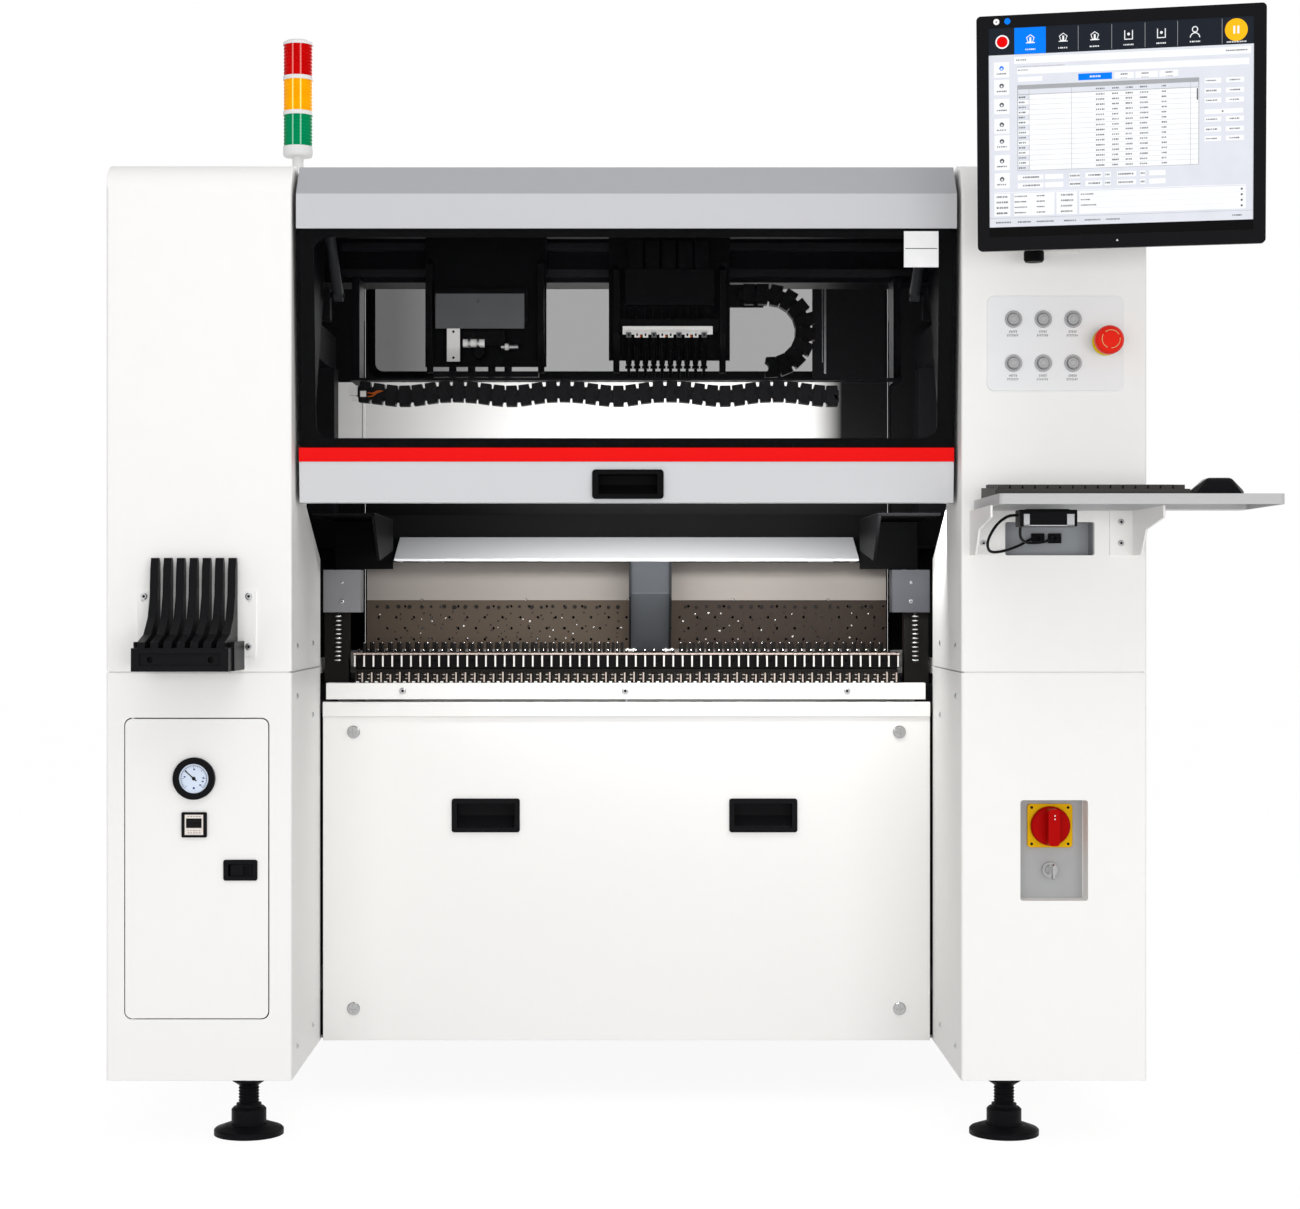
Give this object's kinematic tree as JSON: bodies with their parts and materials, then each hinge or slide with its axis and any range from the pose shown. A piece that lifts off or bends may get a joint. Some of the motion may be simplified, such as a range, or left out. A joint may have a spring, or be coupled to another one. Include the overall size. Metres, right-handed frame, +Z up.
{
  "type": "surface-mount pick and place machine",
  "caption": "Floor-standing pick and place machine with two towers, lifting window hood, twin-head gantry, feeder bank, signal lamp, keyboard shelf and swivelling monitor.",
  "frame": {"origin": "on the floor, midway between the two towers and midway between the towers' front faces and the rear cover", "axes": "+X to the right seen from the front, +Y to the rear, +Z up"},
  "size_m": [1.603, 1.2284, 1.743],
  "materials": {
    "casing_white": "fine-textured powder coat",
    "casing_rear": "fine-textured powder coat",
    "frame_grey": "satin paint",
    "foot_black": "satin, stem blackened steel",
    "black_plastic": "fine-grained",
    "black_metal": "satin black",
    "silver_panel": "silver metallic paint",
    "smoked_window": "smoked acrylic",
    "steel_comb": "ground",
    "feeder_metal": "brushed",
    "chute_grey": "satin",
    "rail_black": "black anodised",
    "lock_chrome": "plated",
    "lamp_white": "gloss",
    "lamp_red": "ribbed translucent",
    "lamp_amber": "ribbed translucent",
    "lamp_green": "ribbed translucent",
    "panel_grey": "satin",
    "isolator_yellow": "satin",
    "isolator_red": "satin",
    "estop_red": "gloss",
    "button_metal": "turned",
    "strut_grey": "satin",
    "strut_rod": "polished"
  },
  "bodies": {
    "machine": {"base_frame": "frame_grey", "levelling_feet": "foot_black", "left_lower_cover": "casing_white", "right_lower_cover": "casing_white", "left_upper_cover": "casing_white", "right_upper_cover": "casing_white", "rear_cover": "casing_rear", "rear_window": "smoked_window", "rear_lower_panels": "casing_rear", "front_panel": "casing_white", "panel_pulls": "black_plastic", "panel_locks": "lock_chrome", "feeder_comb": "steel_comb", "feeder_rail": "feeder_metal", "back_plate": "feeder_metal", "deflector_cover": "silver_panel", "waste_chute": "chute_grey", "side_shields": "black_metal", "y_rails": "frame_grey", "conveyor_front_rail": "rail_black", "lamp_body": "lamp_white", "lamp_red": "lamp_red", "lamp_amber": "lamp_amber", "lamp_green": "lamp_green", "control_panel": "panel_grey", "isolator_plate": "isolator_yellow", "fin_rack": "black_plastic", "shelf_tray": "silver_panel", "tower_brackets": "casing_white", "keyboard": "black_plastic", "usb_hub": "black_plastic"},
    "hood": {"hood_shell": "silver_panel", "hood_frame": "black_metal", "hood_window": "smoked_window"},
    "strut_tube": {"strut_tubes": "strut_grey"},
    "strut_rod": {"strut_rods": "strut_rod"},
    "gantry": {"x_beam": "black_metal", "drag_chain": "black_plastic"},
    "left_head": {"left_head": "black_metal"},
    "right_head": {"right_head": "black_metal"},
    "rear_conveyor": {"conveyor_rear_rail": "rail_black"},
    "left_door": {"left_door": "casing_white", "door_fittings": "black_plastic"},
    "door_latch": {"door_latch": "black_plastic"},
    "estop": {"estop_cap": "estop_red"},
    "isolator": {"isolator_knob": "isolator_red"},
    "lock_key": {"lock_key": "lock_chrome"},
    "monitor_arm": {"monitor_arm": "black_metal"},
    "monitor": {"monitor": "black_plastic"},
    "nozzle_pair_1": {"nozzle_pair_1": "black_metal"},
    "nozzle_pair_2": {"nozzle_pair_2": "black_metal"},
    "nozzle_pair_3": {"nozzle_pair_3": "black_metal"},
    "nozzle_pair_4": {"nozzle_pair_4": "black_metal"},
    "nozzle_pair_5": {"nozzle_pair_5": "black_metal"},
    "button_1": {"button_1": "button_metal"},
    "button_2": {"button_2": "button_metal"},
    "button_3": {"button_3": "button_metal"},
    "button_4": {"button_4": "button_metal"},
    "button_5": {"button_5": "button_metal"},
    "button_6": {"button_6": "button_metal"}
  },
  "joints": [
    {"name": "hood_hinge", "type": "hinge", "parent": "machine", "child": "hood", "pos_m": [0, -0.172, 1.392], "axis": [-1, 0, 0], "range_deg": [0, 60]},
    {"name": "strut_swing", "type": "hinge", "parent": "machine", "child": "strut_tube", "pos_m": [0, -0.17, 1.24], "axis": [-1, 0, 0], "range_deg": [0, 31.44]},
    {"name": "strut_extend", "type": "slide", "parent": "strut_tube", "child": "strut_rod", "axis": [0, -0.8228, 0.5684], "range_m": [0, 0.1058]},
    {"name": "gantry_y", "type": "slide", "parent": "machine", "child": "gantry", "axis": [0, 1, 0], "range_m": [-0.12, 0.15]},
    {"name": "left_head_x", "type": "slide", "parent": "gantry", "child": "left_head", "axis": [1, 0, 0], "range_m": [-0.09, 0.045]},
    {"name": "right_head_x", "type": "slide", "parent": "gantry", "child": "right_head", "axis": [1, 0, 0], "range_m": [-0.045, 0.09]},
    {"name": "nozzle_pair_1_z", "type": "slide", "parent": "right_head", "child": "nozzle_pair_1", "axis": [0, 0, -1], "range_m": [0, 0.02]},
    {"name": "nozzle_pair_2_z", "type": "slide", "parent": "right_head", "child": "nozzle_pair_2", "axis": [0, 0, -1], "range_m": [0, 0.02]},
    {"name": "nozzle_pair_3_z", "type": "slide", "parent": "right_head", "child": "nozzle_pair_3", "axis": [0, 0, -1], "range_m": [0, 0.02]},
    {"name": "nozzle_pair_4_z", "type": "slide", "parent": "right_head", "child": "nozzle_pair_4", "axis": [0, 0, -1], "range_m": [0, 0.02]},
    {"name": "nozzle_pair_5_z", "type": "slide", "parent": "right_head", "child": "nozzle_pair_5", "axis": [0, 0, -1], "range_m": [0, 0.02]},
    {"name": "conveyor_width", "type": "slide", "parent": "machine", "child": "rear_conveyor", "axis": [0, 1, 0], "range_m": [-0.12, 0.02]},
    {"name": "door_hinge", "type": "hinge", "parent": "machine", "child": "left_door", "pos_m": [-0.698, -0.475, 0], "axis": [0, 0, -1], "range_deg": [0, 90]},
    {"name": "door_latch_turn", "type": "hinge", "parent": "left_door", "child": "door_latch", "pos_m": [-0.557, -0.476, 0.3885], "axis": [0, 0, -1], "range_deg": [0, 30], "stiffness_Nm_per_rad": 0.05},
    {"name": "button_1_press", "type": "slide", "parent": "machine", "child": "button_1", "axis": [0, 1, 0], "range_m": [0, 0.003], "stiffness_N_per_m": 400},
    {"name": "button_2_press", "type": "slide", "parent": "machine", "child": "button_2", "axis": [0, 1, 0], "range_m": [0, 0.003], "stiffness_N_per_m": 400},
    {"name": "button_3_press", "type": "slide", "parent": "machine", "child": "button_3", "axis": [0, 1, 0], "range_m": [0, 0.003], "stiffness_N_per_m": 400},
    {"name": "button_4_press", "type": "slide", "parent": "machine", "child": "button_4", "axis": [0, 1, 0], "range_m": [0, 0.003], "stiffness_N_per_m": 400},
    {"name": "button_5_press", "type": "slide", "parent": "machine", "child": "button_5", "axis": [0, 1, 0], "range_m": [0, 0.003], "stiffness_N_per_m": 400},
    {"name": "button_6_press", "type": "slide", "parent": "machine", "child": "button_6", "axis": [0, 1, 0], "range_m": [0, 0.003], "stiffness_N_per_m": 400},
    {"name": "estop_press", "type": "slide", "parent": "machine", "child": "estop", "axis": [0, 1, 0], "range_m": [0, 0.005]},
    {"name": "isolator_turn", "type": "hinge", "parent": "machine", "child": "isolator", "pos_m": [0.604, -0.442, 0.448], "axis": [0, -1, 0], "range_deg": [-90, 0]},
    {"name": "key_turn", "type": "hinge", "parent": "machine", "child": "lock_key", "pos_m": [0.604, -0.442, 0.385], "axis": [0, -1, 0], "range_deg": [-90, 0]},
    {"name": "monitor_swivel", "type": "hinge", "parent": "machine", "child": "monitor_arm", "pos_m": [0.567, -0.53, 1.3], "axis": [0, 0, 1], "range_deg": [0, 30]},
    {"name": "monitor_tilt", "type": "hinge", "parent": "monitor_arm", "child": "monitor", "pos_m": [0.66256, -0.64901, 1.393], "axis": [0.9781, -0.2079, 0], "range_deg": [-12, 12]}
  ],
  "couplings": [
    {"joint": "strut_swing", "follows": "hood_hinge", "ratio": 0.5157},
    {"joint": "strut_extend", "follows": "hood_hinge", "m_per_rad": 0.1001}
  ]
}
